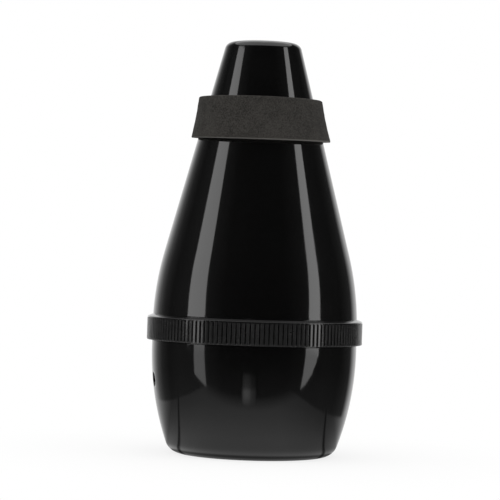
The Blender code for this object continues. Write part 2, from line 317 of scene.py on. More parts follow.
def makeFoam(name, look):
    material, tree = newMaterial(name)
    place = addNode(tree, "ShaderNodeTexCoord").outputs["Object"]
    cells = addNode(tree, "ShaderNodeTexVoronoi", {
        "Vector": place,
        "Scale": 1 / look["cell"],
        "Randomness": 1,
    })
    grain = addNode(tree, "ShaderNodeTexNoise", {
        "Vector": place,
        "Scale": 1 / look["grain"],
        "Detail": foamPattern["grainDetail"],
        "Roughness": foamPattern["grainRoughness"],
    })
    patches = addNode(tree, "ShaderNodeTexNoise", {
        "Vector": place,
        "Scale": 1 / look["patch"],
        "Detail": foamPattern["patchDetail"],
    })
    pits = addNode(tree, "ShaderNodeMath", {
        0: cells.outputs["Distance"],
        1: foamPattern["pitWeight"],
    }, operation="MULTIPLY")
    cut = addNode(tree, "ShaderNodeMath", {
        0: grain.outputs["Fac"],
        1: foamPattern["grainWeight"],
        2: pits.outputs["Value"],
    }, operation="MULTIPLY_ADD")
    clouded = addNode(tree, "ShaderNodeMath", {
        0: patches.outputs["Fac"],
        1: foamPattern["patchWeight"],
        2: cut.outputs["Value"],
    }, operation="MULTIPLY_ADD")
    tone = addNode(tree, "ShaderNodeValToRGB", {"Fac": clouded.outputs["Value"]})
    rampStops(tone, [
        (foamPattern["toneFrom"], hexToLinear(look["dark"])),
        (foamPattern["toneTo"], hexToLinear(look["light"])),
    ])
    colour = tone.outputs["Color"]
    if "cutEdgeHighlight" in look:
        # painted highlight: the lower edge, fuzzy where it was cut, is painted paler where it catches more
        # light; it hangs lower in front
        at = addNode(tree, "ShaderNodeSeparateXYZ", {"Vector": place})
        level = addNode(tree, "ShaderNodeMath", {
            0: at.outputs["Y"],
            1: look["edgeSlope"],
            2: at.outputs["Z"],
        }, operation="MULTIPLY_ADD")
        edgeLightMask = addNode(tree, "ShaderNodeMapRange", {
            "Value": level.outputs["Value"],
            "From Min": look["edgeTop"],
            "From Max": look["edgeTop"] - look["edgeFade"],
        })
        colour = addNode(tree, "ShaderNodeMix", {
            0: edgeLightMask.outputs["Result"],
            6: colour,
            7: hexToLinear(look["cutEdgeHighlight"]),
        }, data_type="RGBA").outputs[2]
    relief = addNode(tree, "ShaderNodeBump", {
        "Strength": look["relief"],
        "Distance": foamPattern["pitDepth"],
        "Height": cut.outputs["Value"],
    })
    shader = addNode(tree, "ShaderNodeBsdfPrincipled", {
        "Base Color": colour,
        "Roughness": look["roughness"],
        "Normal": relief.outputs["Normal"],
        "IOR": look["ior"],
        "Specular IOR Level": look["specular"],
        "Metallic": 0,
    })
    addNode(tree, "ShaderNodeOutputMaterial", {"Surface": shader.outputs["BSDF"]})
    return material


# Cone and cup, ABS moulded in a polished tool: deep black and mirror-like, with crisp reflections that
# waver a little. The smudges are as wide as a fingertip's wipe.
shellLook = {
    "dark": "#050505",
    "light": "#080808",
    "roughness": 0.05,
    "dullest": 0.10,
    "smudge": 22 * mm,
    "ripple": 7 * mm,
    "rippleStrength": 0.12,
    "ior": 1.54,
}
# Ring, the same ABS rubbed by fingers: its ribs shine along their tops and are greyer than the shells; its
# gaps and sloped rim carry painted shade
ringLook = {
    "dark": "#1c1c1c",
    "light": "#262626",
    # painted shade in the gaps between the ribs, fading out between these two radii
    "paintedGapShade": "#060606",
    "gapEnd": 39.4 * mm,
    "ribStart": 39.65 * mm,
    # painted shade on the sloped rim, blended in between these two heights
    "rimPaintedShade": "#191919",
    "rimFoot": ringTop - 0.85 * mm,
    "rimStart": ringTop - 0.75 * mm,
    "roughness": 0.07,
    "dullest": 0.12,
    "smudge": 6 * mm,
    "ripple": 1.2 * mm,
    "rippleStrength": 0.3,
    "ior": 1.54,
}
# Tube and baffle plate, ABS from an unpolished tool: dark grey with a broad, dull sheen
innerLook = {
    "dark": "#111111",
    "light": "#191919",
    "roughness": 0.38,
    "dullest": 0.55,
    "smudge": 9 * mm,
    "ripple": 0.8 * mm,
    "rippleStrength": 0.5,
    "ior": 1.54,
}
# Gasket, moulded nitrile rubber: flat black that hardly shines
rubberLook = {
    "dark": "#121212",
    "light": "#1c1c1b",
    "roughness": 0.55,
    "dullest": 0.7,
    "smudge": 5 * mm,
    "ripple": 0.6 * mm,
    "rippleStrength": 0.5,
    "ior": 1.52,
}
# Neck ring, closed-cell EVA foam cut from sheet: matt charcoal, speckled by cut cells, without any gloss.
# The real cells are some 0.2 mm across, too fine to show, so they are drawn at 0.45 mm.
neckFoamLook = {
    "dark": "#0f0e0d",
    "light": "#3b3936",
    # painted highlight along the lower cut edge
    "cutEdgeHighlight": "#5e5c59",
    "edgeTop": low["neck_foam_ring"] + 0.6 * mm,
    "edgeFade": 0.25 * mm,
    "edgeSlope": -0.035,
    "cell": 0.45 * mm,
    "grain": 0.9 * mm,
    "patch": 7 * mm,
    "relief": 0.55,
    "roughness": 0.95,
    "ior": 1.45,
    "specular": 0.25,
}
# Damping sleeve and disc, open-cell polyurethane foam: a soft grey full of dark pits about 1 mm wide
openFoamLook = {
    "dark": "#1c1c1e",
    "light": "#4a4a4e",
    "cell": 1.1 * mm,
    "grain": 1.5 * mm,
    "patch": 12 * mm,
    "relief": 0.9,
    "roughness": 1.0,
    "ior": 1.45,
    "specular": 0.2,
}

glossAbs = makeMoulded("injectionMouldedAbsGloss", shellLook)
ribbedAbs = makeMoulded("injectionMouldedAbsSatin", ringLook)
innerAbs = makeMoulded("injectionMouldedAbsPlain", innerLook)
nitrileRubber = makeMoulded("nitrileRubber", rubberLook)
evaFoam = makeFoam("cutEvaFoam", neckFoamLook)
polyurethaneFoam = makeFoam("openCellPolyurethaneFoam", openFoamLook)
print("materials made:", len(bpy.data.materials))


def threadRadius(root, angle, height, start, end):
    # root, rising flank, crest and falling flank take a quarter of the lead each
    turn = (height / thread["lead"] - angle / math.tau) % 1
    flank = min(max((0.5 - abs(turn - 0.5)) * 4 - 0.5, 0), 1)
    toEnd = min(height - start, end - height)
    runOut = min(max(toEnd / (thread["runOut"] * thread["lead"]), 0), 1)
    return root + thread["depth"] * flank * flank * (3 - 2 * flank) * runOut


# Front cone: the glossy taper, its rounded mouth and the threaded spigot
cone = {
    "steps": 192,
    "mouthBore": 9 * mm,
    "mouthEdge": 3 * mm,
    "boreEdge": 0.6 * mm,
    "lip": 2 * mm,
    "shoulderGap": 0.12 * mm,  # the cone all but touches the ring
    "spigotWall": 2 * mm,
    "spigotEdge": 0.2 * mm,
    "taper": 3 * mm,
    "threadRows": 34,
    "threadStart": 0.4 * mm,  # above the spigot's foot
    "threadEnd": 0.35 * mm,  # below the shoulder
    "topGap": 4 * mm,  # plain stretches beside the rounded mouth and the start of the taper
    "taperGap": 2 * mm,
}
shoulder = ringTop + cone["shoulderGap"]
spigotBore = spigotRadius - cone["spigotWall"]
edgeHeight = bodyHeight - cone["mouthEdge"]
edgeCentre = (coneRadius(edgeHeight, cone["mouthEdge"]), edgeHeight)
lipBase = bodyHeight - cone["lip"]
boreEdgeCentre = (cone["mouthBore"] + cone["boreEdge"], bodyHeight - cone["boreEdge"])
threadLow = spigotBase + cone["threadStart"]
threadHigh = shoulder - cone["threadEnd"]
coneOutline = [
    *arcPoints(boreEdgeCentre, cone["boreEdge"], math.pi, math.pi / 2, 4),
    *arcPoints(edgeCentre, cone["mouthEdge"], math.pi / 2, coneTaper, 12),
    *sidePoints(coneRadius, edgeHeight - cone["topGap"], coneTangent() + cone["taperGap"], 10),
    *sidePoints(coneRadius, coneTangent(), shoulder + cone["spigotEdge"], 16),
    (coneRadius(shoulder), shoulder + shellEdge),
    (coneRadius(shoulder) - edgeCut, shoulder + edgeCut),
    (coneRadius(shoulder) - shellEdge, shoulder),
    (spigotRoot, shoulder),
    *[(spigotRoot, height) for height in spread(threadHigh, threadLow, cone["threadRows"])],
    (spigotRoot, spigotBase + cone["spigotEdge"]),
    (spigotRoot - cone["spigotEdge"], spigotBase),
    (spigotBore, spigotBase),
    (spigotBore, shoulder),
    *sidePoints(coneRadius, shoulder + cone["taper"], coneTangent(shellWall), 12, shellWall),
    (coneRadius(lipBase, shellWall), lipBase),
    (cone["mouthBore"], lipBase),
]


def placeSpigot(k, angle, radius, height):
    if radius == spigotRoot and height < shoulder:
        radius = threadRadius(radius, angle, height, threadLow, threadHigh)
    return radius, height


bm, columns = turnedMesh(coneOutline, evenAngles(cone["steps"]), placeSpigot)
addPiece("frontCone", bm, glossAbs, "cone", "front_cone")
print("front cone made")

# Rear cup: the rounded shell on its flat base, its snap flange and one vent
cup = {
    "steps": 192,
    "neckWall": 1.8 * mm,
    "taper": 3 * mm,
    "hookReach": 0.7 * mm,
    "flangeHeight": 1.2 * mm,
    "flangeEdge": 0.3 * mm,
    "ventRadius": 2.5 * mm,
    "ventEdge": 0.35 * mm,
    "ventHeight": 27 * mm,
    "ventBearing": math.radians(191.5),
    "ventPatch": 8,  # rows and columns of the wall's faces that give way to the vent
    "outerGap": 2 * mm,  # between the rows beside the vent and the rest of the wall
    "innerGap": 1.5 * mm,
    "rimRow": 0.2 * mm,  # a row close under the rim keeps its softened corner narrow
    "baseShares": (0.25, 0.5, 0.75),  # rings of faces across the flat base
}
neckRadius = spigotRadius - cup["hookReach"] - seatGap
neckBore = neckRadius - cup["neckWall"]
flangeBase = flangeTop - cup["flangeHeight"]
baseRise = sides["baseEdge"] - cupSweepTop
baseReach = math.sqrt((sides["cupSweep"] - sides["baseEdge"]) ** 2 - baseRise**2)
baseCentre = (waistRadius - sides["cupSweep"] + baseReach, sides["baseEdge"])
baseStart = math.atan2(baseRise, baseReach)
columnAngle = math.tau / cup["steps"]
patchColumns = cup["ventPatch"]
patchHalf = columnAngle * patchColumns / 2 * waistRadius  # the patch round the vent is about square
patchRows = [cup["ventHeight"] + patchHalf * (1 - 2 * i / patchColumns) for i in range(patchColumns + 1)]
outerCorner = arcPoints(baseCentre, sides["baseEdge"], baseStart, -math.pi / 2, 14)
innerCorner = arcPoints(baseCentre, sides["baseEdge"] - shellWall, -math.pi / 2, baseStart, 8)
cupOutline = [
    (neckBore, flangeTop),
    (spigotRadius - cup["flangeEdge"], flangeTop),
    (spigotRadius, flangeTop - cup["flangeEdge"]),
    (spigotRadius, flangeBase),
    (neckRadius, flangeBase),
    (neckRadius, cupRim),
    (waistRadius - shellEdge, cupRim),
    (waistRadius - edgeCut, cupRim - edgeCut),
    (waistRadius, cupRim - shellEdge),
    (waistRadius, cupRim - cup["rimRow"]),
    *sidePoints(cupRadius, cupSweepTop, patchRows[0] + cup["outerGap"], 6),
    *[(cupRadius(height), height) for height in patchRows],
    *sidePoints(cupRadius, patchRows[-1] - cup["outerGap"], outerCorner[0][1] + cup["innerGap"], 8),
    *outerCorner,
    *[(baseCentre[0] * share, 0) for share in reversed(cup["baseShares"])],
]
outerFirst = cupOutline.index((cupRadius(patchRows[0]), patchRows[0]))
underside = len(cupOutline)
innerFoot = innerCorner[-1][1] + cup["innerGap"]
taperBase = cupRim - cup["neckWall"] - cup["taper"]
cupOutline += [
    *[(baseCentre[0] * share, shellWall) for share in cup["baseShares"]],
    *innerCorner,
    *sidePoints(cupRadius, innerFoot, patchRows[-1] - cup["outerGap"], 6, shellWall),
    *[(cupRadius(height, shellWall), height) for height in reversed(patchRows)],
    *sidePoints(cupRadius, patchRows[0] + cup["innerGap"], taperBase, 3, shellWall),
    (neckBore, cupRim - cup["neckWall"]),
]
innerFirst = cupOutline.index((cupRadius(patchRows[-1], shellWall), patchRows[-1]))


def openVent(bm, columns):
    # replaces a square patch of both walls with rings that run into a round, soft-edged hole
    first = round(cup["ventBearing"] / columnAngle - patchColumns / 2)
    bearing = (first + patchColumns / 2) * columnAngle
    outward = Vector((math.cos(bearing), math.sin(bearing), 0))
    edge = cup["ventEdge"]
    soft = cup["ventRadius"] + edge
    # each ring's share of the way from the patch's border to a circle, that circle's radius, and its depth
    steps = (
        (0.4, soft, 0),
        (0.75, soft, 0),
        (1, soft, 0),
        (1, soft - 0.7 * edge, 0.3 * edge),
        (1, cup["ventRadius"], edge),
    )
    rims = []
    for start, inset, into in ((outerFirst, 0.0, -1), (innerFirst, shellWall, 1)):
        n = patchColumns
        grid = [[columns[first + c][start + r] for r in range(n + 1)] for c in range(n + 1)]
        border = [grid[c][0] for c in range(n)] + [grid[n][r] for r in range(n)]
        border += [grid[n - c][n] for c in range(n)] + [grid[0][n - r] for r in range(n)]
        inside = [grid[c][r] for c in range(1, n) for r in range(1, n)]
        faces = {face for column in grid for vert in column for face in vert.link_faces}
        patch = [face for face in faces if all(any(v in column for column in grid) for v in face.verts)]
        bmesh.ops.delete(bm, geom=patch, context="FACES_ONLY")
        bmesh.ops.delete(bm, geom=inside, context="VERTS")
        flat = []
        for vert in border:
            turn = (math.atan2(vert.co.y, vert.co.x) - bearing + math.pi) % math.tau - math.pi
            flat.append(Vector((turn * waistRadius, vert.co.z - cup["ventHeight"])))
        rings = [border]
        for share, radius, depth in steps:
            ring = []
            for point in flat:
                spot = point.lerp(point.normalized() * radius, share)
                turn = bearing + spot.x / waistRadius
                height = cup["ventHeight"] + spot.y
                reach = cupRadius(height, inset)
                place = Vector((reach * math.cos(turn), reach * math.sin(turn), height))
                ring.append(bm.verts.new(place + outward * depth * into))
            rings.append(ring)
        for a, b in zip(rings, rings[1:]):
            for i in range(len(a)):
                k = (i + 1) % len(a)
                bm.faces.new((a[i], a[k], b[k], b[i]))
        rims.append(rings[-1])
    outer, inner = rims
    pairs = [min(inner, key=lambda vert: (vert.co - spot.co).cross(outward).length) for spot in outer]
    for i in range(len(outer)):
        k = (i + 1) % len(outer)
        bm.faces.new((outer[i], outer[k], pairs[k], pairs[i]))


bm, columns = turnedMesh(cupOutline, evenAngles(cup["steps"]))
# the outline steps from the underside up to the cup's floor, and that strip gives way to two full discs
centres = [bm.verts.new((0, 0, height)) for height in (0, shellWall)]
seam = [(column[underside - 1], column[underside]) for column in columns]
for i in range(cup["steps"]):
    k = (i + 1) % cup["steps"]
    strip = [face for face in seam[i][0].link_faces if seam[i][1] in face.verts and seam[k][0] in face.verts]
    bmesh.ops.delete(bm, geom=strip, context="FACES_ONLY")
    bm.faces.new((seam[i][0], seam[k][0], centres[0]))
    bm.faces.new((seam[i][1], seam[k][1], centres[1]))
for a, b in seam:
    stray = bm.edges.get((a, b))
    if stray:
        bm.edges.remove(stray)
openVent(bm, columns)
addPiece("rearCup", bm, glossAbs, "cup", "rear_cup")
print("rear cup made")

# Knurled ring: flat-topped upright ribs under a sloped rim, threaded inside above its hook
ring = {
    "ribs": 148,
    "ribDepth": 0.5 * mm,
    "ribFoot": 0.3 * mm,  # the gaps get shallower over this height at their lower ends
    "bevelWidth": 1.7 * mm,
    "bevelHeight": 0.72 * mm,
    "footChamfer": 0.08 * mm,
    "grooveHeight": 0.4 * mm,  # between the rim and the ribs' upper ends
    "grooveDepth": 0.45 * mm,
    "grooveEdge": 0.1 * mm,
    "lip": 0.1 * mm,  # plain band under the ribs
    "hookHeight": 1.3 * mm,
    "boreEdge": 0.3 * mm,
    "boreFoot": 0.9 * mm,
    "boreRows": 26,
}
# Half a rib's section, from the middle of a gap to the middle of the rib: shares of the pitch and the depth
ribSection = [
    (0, 1),
    (0.06, 0.95),
    (0.11, 0.7),
    (0.16, 0.36),
    (0.2, 0.14),
    (0.235, 0.03),
    (0.265, 0),
    (0.3, 0),
    (0.5, 0),
]
# The rim's rounded corners, as steps in mm outwards and upwards from where its faces meet. The last point
# of the upper corner and the first of the lower one lie on the slope and keep its shading flat.
rimUpper = [(-0.06, 0), (0.06, -0.04), (0.2, -0.1)]
rimLower = [(-0.14, 0.065), (-0.06, 0.03), (-0.01, -0.02), (-0.04, -0.06)]
hookRadius = spigotRadius - cup["hookReach"]
hookTop = ringBase + ring["hookHeight"]
boreRadius = spigotRadius + thread["clearance"]
rimInner = ringRadius - ring["bevelWidth"]
rimBase = ringTop - ring["bevelHeight"]
grooveRadius = ringRadius - ring["grooveDepth"]
ribHigh = rimBase - ring["grooveHeight"] - ring["grooveEdge"]
ribLow = ringBase + ring["footChamfer"] + ring["lip"]
ribRows = (0, 0.03, 0.1, 0.5, 0.9, 0.96, 1)
boreHeights = spread(hookTop + ring["boreFoot"], ringTop - ring["boreEdge"], ring["boreRows"])
ringOutline = [
    (boreRadius + ring["boreEdge"], ringTop),
    *[(rimInner + out * mm, ringTop + up * mm) for out, up in rimUpper],
    *[(ringRadius + out * mm, rimBase + up * mm) for out, up in rimLower],
    (grooveRadius, rimBase - ring["grooveEdge"]),
    (grooveRadius, ribHigh + ring["grooveEdge"]),
    *[(ringRadius, ribHigh + (ribLow - ribHigh) * share) for share in ribRows],
    (ringRadius, ringBase + ring["footChamfer"]),
    (ringRadius - ring["footChamfer"], ringBase),
    (hookRadius, ringBase),
    (hookRadius, hookTop),
    (boreRadius, hookTop),
    *[(boreRadius, height) for height in boreHeights],
]
ribHalf = [share for share, depth in ribSection]
ribShares = ribHalf + [1 - share for share in reversed(ribHalf[1:-1])]
ringAngles = [math.tau * (i + share) / ring["ribs"] for i in range(ring["ribs"]) for share in ribShares]


def ribDip(share):
    # depth below the rib's top at a share of the pitch
    share = min(share, 1 - share)
    for (a, deep), (b, shallow) in zip(ribSection, ribSection[1:]):
        if share <= b:
            return (deep + (shallow - deep) * (share - a) / (b - a)) * ring["ribDepth"]
    return 0


def placeRib(k, angle, radius, height):
    if radius == ringRadius and ribLow <= height <= ribHigh:
        foot = min((height - ribLow) / ring["ribFoot"], 1)
        radius -= ribDip((angle / math.tau * ring["ribs"]) % 1) * foot
    elif radius == boreRadius and height > hookTop:
        radius = threadRadius(radius - thread["depth"], angle, height, 0, 1)
    return radius, height


bm, columns = turnedMesh(ringOutline, ringAngles, placeRib)
addPiece("knurledRing", bm, ribbedAbs, "union_ring", "knurled_ring", 50)
print("knurled ring made")


def cutUneven(foam, angle, radius, height):
    # how far a cut foam face stands out at a spot
    spot = Vector((radius * math.cos(angle), radius * math.sin(angle), height)) / foam["lump"]
    return noise.fractal(spot, foam["lumpFall"], 2.0, 3) * foam["unevenness"]


# Neck foam ring: cut foam, a little uneven, pushed on slightly askew
neckFoam = {
    "steps": 288,
    "drop": 20.75 * mm,
    "height": 15.1 * mm,
    "topThickness": 3.7 * mm,
    "baseThickness": 2.7 * mm,
    "hollow": 0.25 * mm,
    "tilt": math.radians(0.3),
    "topShift": -0.49 * mm,  # how far its outer face is pushed along X at its upper and lower edges
    "baseShift": 0.15 * mm,
    "topDroop": 0.25 * mm,  # how far the same edges hang lower towards the viewer and higher behind
    "baseDroop": 0.9 * mm,
    "rows": 30,
    "edge": 0.35 * mm,
    "edgeCut": 0.3,  # share of the edge that its middle is cut back by
    "evenBand": 1 * mm,  # of the upper face, beside the cone
    "lump": 2.2 * mm,
    "lumpFall": 0.6,
    "unevenness": 0.07 * mm,
}
foamTop = bodyHeight - neckFoam["drop"]
foamBase = foamTop - neckFoam["height"]


def neckFoamRadius(share):
    # at a share of its height, counted down from its upper edge
    thickness = neckFoam["topThickness"] * (1 - share) + neckFoam["baseThickness"] * share
    outer = coneRadius(foamTop - neckFoam["height"] * share) + thickness
    return outer - neckFoam["hollow"] * math.sin(math.pi * share)


foamEdge = neckFoam["edge"]
foamCut = neckFoam["edgeCut"] * foamEdge
edgeShare = foamEdge / neckFoam["height"]
foamShares = [edgeShare + (1 - 2 * edgeShare) * i / neckFoam["rows"] for i in range(neckFoam["rows"] + 1)]
foamOutline = [
    (coneRadius(foamTop) + seatGap, foamTop),
    (coneRadius(foamTop) + seatGap + neckFoam["evenBand"], foamTop),
    (neckFoamRadius(0) - foamEdge, foamTop),
    (neckFoamRadius(0) - foamCut, foamTop - foamCut),
    *[(neckFoamRadius(share), foamTop - neckFoam["height"] * share) for share in foamShares],
    (neckFoamRadius(1) - foamCut, foamBase + foamCut),
    (neckFoamRadius(1) - foamEdge, foamBase),
    (coneRadius(foamBase) + seatGap, foamBase),
]


def placeFoam(k, angle, radius, height):
    isOuter = 1 < k < len(foamOutline) - 1
    share = (foamTop - height) / neckFoam["height"]
    droop = -math.sin(angle) * (neckFoam["topDroop"] * (1 - share) + neckFoam["baseDroop"] * share)
    if isOuter:
        radius += cutUneven(neckFoam, angle, radius, height)
        radius += math.cos(angle) * (neckFoam["topShift"] * (1 - share) + neckFoam["baseShift"] * share)
        radius += (neckFoamRadius(1) - neckFoamRadius(0)) * droop / neckFoam["height"]
    else:
        radius += coneRadius(height - droop) - coneRadius(height)
    return radius, height - droop


bm, columns = turnedMesh(foamOutline, evenAngles(neckFoam["steps"]), placeFoam)
middle = Vector((0, 0, (foamTop + foamBase) / 2))
tilt = Euler((0, neckFoam["tilt"], 0)).to_matrix().to_4x4()
bm.transform(Matrix.Translation(middle) @ tilt @ Matrix.Translation(-middle))
foamPiece = addPiece("neckFoamRing", bm, evaFoam, "cone", "neck_foam_ring", 60)
print("neck foam ring made")

# Air tube with its bell mouth; the baffle plate keeps its own solid
tube = {
    "steps": 96,
    "radius": 6.6 * mm,
    "wall": 1.4 * mm,
    "flange": 1.5 * mm,
    "funnel": 9 * mm,
    "funnelSteps": 16,
    "outerEdge": 0.2 * mm,
    "boreEdge": 0.3 * mm,
}
tubeTop = high["air_tube"]
tubeFoot = low["air_tube"]
tubeBore = tube["radius"] - tube["wall"]
tubeRim = coneRadius(tubeTop, shellWall) - seatGap
funnelBase = tubeTop - tube["funnel"]


def funnelPoints(radius, top):
    wide, deep = cone["mouthBore"] - radius, top - funnelBase
    turns = [math.pi / 2 * i / tube["funnelSteps"] for i in range(tube["funnelSteps"] + 1)]
    return [(radius + wide * (1 - math.sin(turn)), top - deep * (1 - math.cos(turn))) for turn in turns]


tubeOutline = [
    (tubeRim, tubeTop),
    (tubeRim, tubeTop - tube["flange"]),
    *funnelPoints(tube["radius"], tubeTop - tube["flange"]),
    (tube["radius"], tubeFoot + tube["outerEdge"]),
    (tube["radius"] - tube["outerEdge"], tubeFoot),
    (tubeBore + tube["boreEdge"], tubeFoot),
    (tubeBore, tubeFoot + tube["boreEdge"]),
    *reversed(funnelPoints(tubeBore, tubeTop)),
]
bm, columns = turnedMesh(tubeOutline, evenAngles(tube["steps"]))
addPiece("airTube", bm, innerAbs, "cone", "air_tube")
bpy.data.objects["baffle_plate"].material_slots[0].material = innerAbs

# Seal gasket: a flat rubber ring with rounded edges
gasket = {"steps": 160, "edge": 0.25 * mm}
gasketRadius = boxes["seal_gasket"][1][0]
gasketOutline = rounded([
    (gasketRadius, high["seal_gasket"]),
    (gasketRadius, low["seal_gasket"]),
    (spigotBore, low["seal_gasket"]),
    (spigotBore, high["seal_gasket"]),
], gasket["edge"])
bm, columns = turnedMesh(gasketOutline, evenAngles(gasket["steps"]))
addPiece("sealGasket", bm, nitrileRubber, "cup", "seal_gasket")

# Damping foams: an uneven sleeve round the tube, and a disc on the cup's floor
damping = {
    "steps": 120,
    "sleeveRows": 20,
    "sleeveEase": 0.1 * mm,  # free of the tube and the shell by this much more than the solid
    "lump": 3 * mm,
    "lumpFall": 0.7,
    "unevenness": 0.12 * mm,
    "discEase": 0.15 * mm,
    "discTopShares": (0, 0.2, 0.4, 0.6, 0.8, 0.95),  # rings of faces across its upper and lower sides
    "discBaseShares": (0.6, 0.3, 0),
    "discDrops": (0.3 * mm, 2 * mm, 4 * mm),  # rows down its side, from its upper edge
}


def placeOpenFoam(k, angle, radius, height):
    return radius + cutUneven(damping, angle, radius, height), height


sleeveBase, sleeveTop = low["front_damping_foam"], high["front_damping_foam"]
sleeveBore = tube["radius"] + seatGap + damping["sleeveEase"]
sleeveUp = spread(sleeveBase, sleeveTop, damping["sleeveRows"])
sleeveDown = spread(sleeveTop, sleeveBase, damping["sleeveRows"])
sleeveOutline = [
    *[(sleeveBore, height) for height in sleeveUp],
    *[(coneRadius(height, shellWall) - seatGap - damping["sleeveEase"], height) for height in sleeveDown],
]
bm, columns = turnedMesh(sleeveOutline, evenAngles(damping["steps"]), placeOpenFoam)
sleeve = addPiece("frontDampingFoam", bm, polyurethaneFoam, "cone", "front_damping_foam", 60)

discBase, discTop = low["rear_damping_foam"], high["rear_damping_foam"]
discSide = [discTop - drop for drop in damping["discDrops"]] + [sides["baseEdge"]]
discOutline = [
    *[(cupRadius(discTop, shellWall) * share, discTop) for share in damping["discTopShares"]],
    *[(cupRadius(height, shellWall) - seatGap - damping["discEase"], height) for height in discSide],
    (baseCentre[0], discBase),
    *[(baseCentre[0] * share, discBase) for share in damping["discBaseShares"]],
]
bm, columns = turnedMesh(discOutline, evenAngles(damping["steps"]))
disc = addPiece("rearDampingFoam", bm, polyurethaneFoam, "cup", "rear_damping_foam", 60)
print("inner pieces made")

# Studio: a pale floor with the mute's shadow, and white surroundings for the camera
studio = {
    "floorSize": 4.0,
    "floorTone": "#e8e8e8",
    "shadow": 0.18,  # how much of the floor's own shading the camera sees near the mute
    "shadowFrom": 30 * mm,
    "shadowReach": 120 * mm,
    "ambient": 0.35,
}
white = (1, 1, 1, 1)
# The table that the gloss mirrors, drawn as a glow with its light and shade painted in, with lengths measured
# from the mute's axis
table = {
    # left, right and front edges: (axis, where it ends, where it is whole)
    "edges": [("X", -102 * mm, -96 * mm), ("X", 80 * mm, 74 * mm), ("Y", -100 * mm, -72 * mm)],
    "litFrom": (-0.2, -0.98, 0),  # the side from which it gets its light
    "litShares": (0.05, 0.8),  # how far a spot lies on that side, from the dimmest to the brightest
    "dimmest": 0.45,
    "joint": -13 * mm,  # a thin dark line across the table, just in front of the mute's axis
    "darkLineSides": (0.6 * mm, 2.2 * mm),  # where its dark line ends, and where the board is plain again
    "darkLineTone": 0.2,
    # painted contact shadow close behind the mute
    "contactShadow": (30 * mm, 44 * mm),  # behind the mute it brightens from the first to the second
    "reach": 120 * mm,
}
# Its painted light by distance in mm, falling off away from the mute, with a painted contact shadow as a dark
# line where the mute stands on it
paintedTableLight = [
    (26, 0.1), (28.4, 0.4), (29.6, 0.22), (30.4, 0.35), (31.2, 1.0), (32, 1.1), (34, 0.95),
    (36, 0.8), (38, 0.76), (43, 0.76), (50, 0.68), (63, 0.56), (85, 0.43), (110, 0.36),
]
# The same painted light behind the mute, from level with its axis to straight behind it
tableBehind = [(0, 0), (0.1, 0.24), (0.3, 0.4), (0.5, 0.62), (0.7, 0.8), (1, 0.9)]


